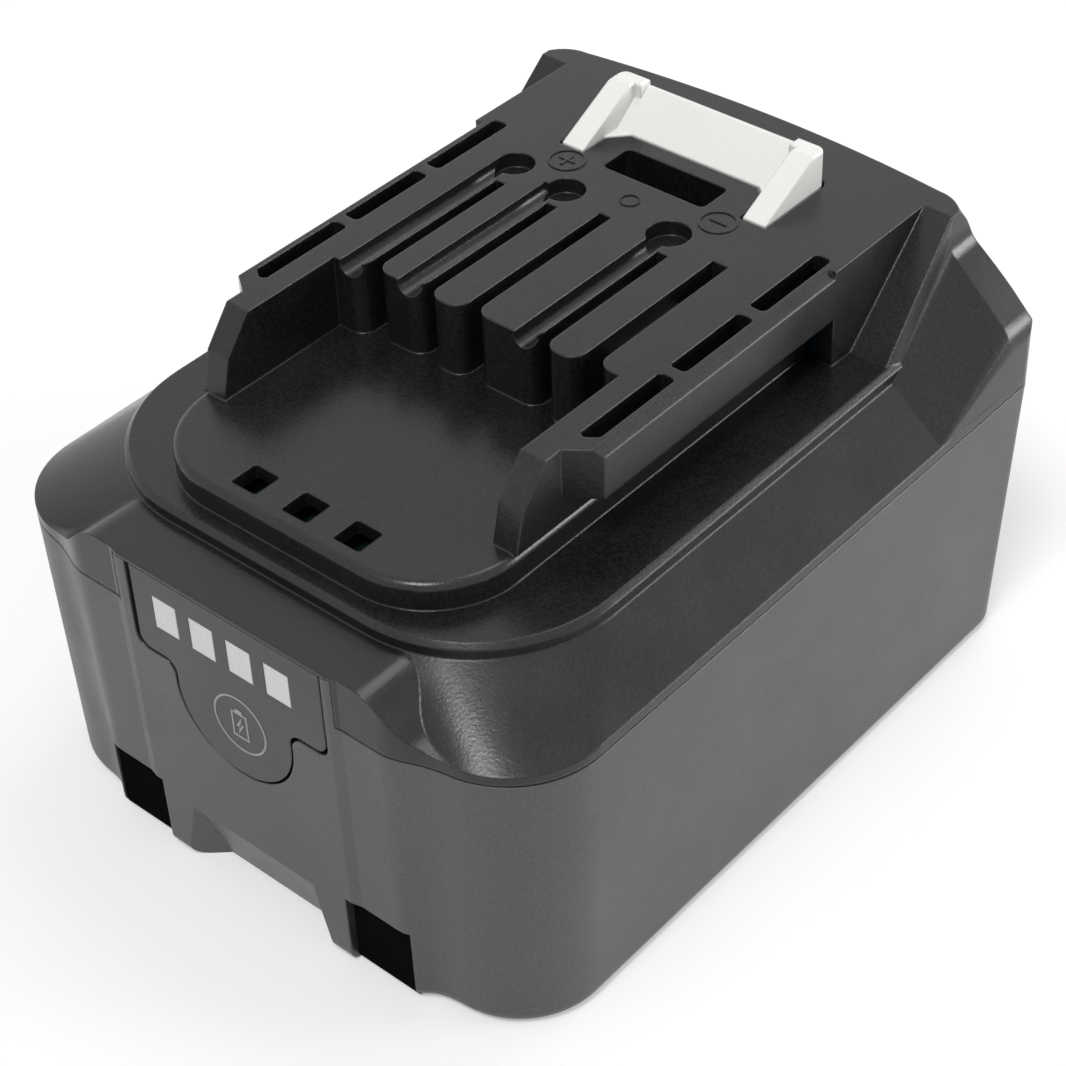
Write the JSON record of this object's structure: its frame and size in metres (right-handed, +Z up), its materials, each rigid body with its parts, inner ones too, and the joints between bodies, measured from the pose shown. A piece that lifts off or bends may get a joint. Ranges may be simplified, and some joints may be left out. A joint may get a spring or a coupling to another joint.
{
  "type": "power tool battery pack",
  "caption": "Slide-on rechargeable battery pack for a cordless tool, with side rails, slotted contact comb, sprung white latch and a charge gauge with a press button.",
  "frame": {"origin": "centre of the flat base on which the pack stands", "axes": "+Z up through the rails, -Y towards the gauge end that the tool covers first, +X to the right seen from the gauge end"},
  "size_m": [0.0686, 0.082, 0.0554],
  "materials": {
    "case_black": "fine spark-eroded texture, charcoal black",
    "gauge_black": "smooth satin charcoal",
    "lamp_window": "milky light grey, clear resin",
    "latch_white": "smooth matt white",
    "button_black": "satin black",
    "cell_wrap": "shrink sleeve, blue grey, steel ends",
    "frame_plastic": "moulded, dark grey",
    "nickel": "nickel strip",
    "board_green": "solder mask on glass fibre",
    "sheet": "insulating paper",
    "contact_metal": "tinned spring metal",
    "chip_black": "moulded package",
    "lead_red": "insulated lead",
    "lead_black": "insulated lead",
    "bead": "glazed bead",
    "led_clear": "clear lamp",
    "plunger": "moulded",
    "spring_steel": "music wire",
    "foot_rubber": "dull black",
    "screw_steel": "dark zinc"
  },
  "bodies": {
    "pack": {"upper_case": "case_black", "lower_case": "case_black", "cell_1": "cell_wrap", "cell_2": "cell_wrap", "cell_3": "cell_wrap", "cell_4": "cell_wrap", "cell_5": "cell_wrap", "cell_6": "cell_wrap", "cell_frame_front": "frame_plastic", "cell_frame_rear": "frame_plastic", "light_baffle": "frame_plastic", "strip_negative": "nickel", "strip_front_link": "nickel", "strip_rear_link": "nickel", "strip_positive": "nickel", "circuit_board": "board_green", "gauge_board": "board_green", "insulator": "sheet", "contact_positive": "contact_metal", "contact_negative": "contact_metal", "signal_contacts": "contact_metal", "controller_chip": "chip_black", "tact_switch": "chip_black", "lead_middle": "lead_red", "lead_negative": "lead_black", "thermistor": "bead", "gauge_leds": "led_clear", "latch_springs": "spring_steel", "foot_pads": "foot_rubber", "case_screws": "screw_steel"},
    "latch": {"latch": "latch_white", "release_button": "button_black"},
    "check_button": {"check_button": "gauge_black", "gauge_windows": "lamp_window", "switch_plunger": "plunger"}
  },
  "joints": [
    {"name": "latch_slide", "type": "slide", "parent": "pack", "child": "latch", "axis": [0, 0, -1], "range_m": [0, 0.0042], "stiffness_N_per_m": 300, "springref_m": -0.003, "deforming": ["latch_springs"]},
    {"name": "check_press", "type": "hinge", "parent": "pack", "child": "check_button", "pos_m": [0, -0.0398, 0.0372], "axis": [1, 0, 0], "range_deg": [0, 2.2], "stiffness_Nm_per_rad": 0.02, "springref_deg": -2.86}
  ]
}
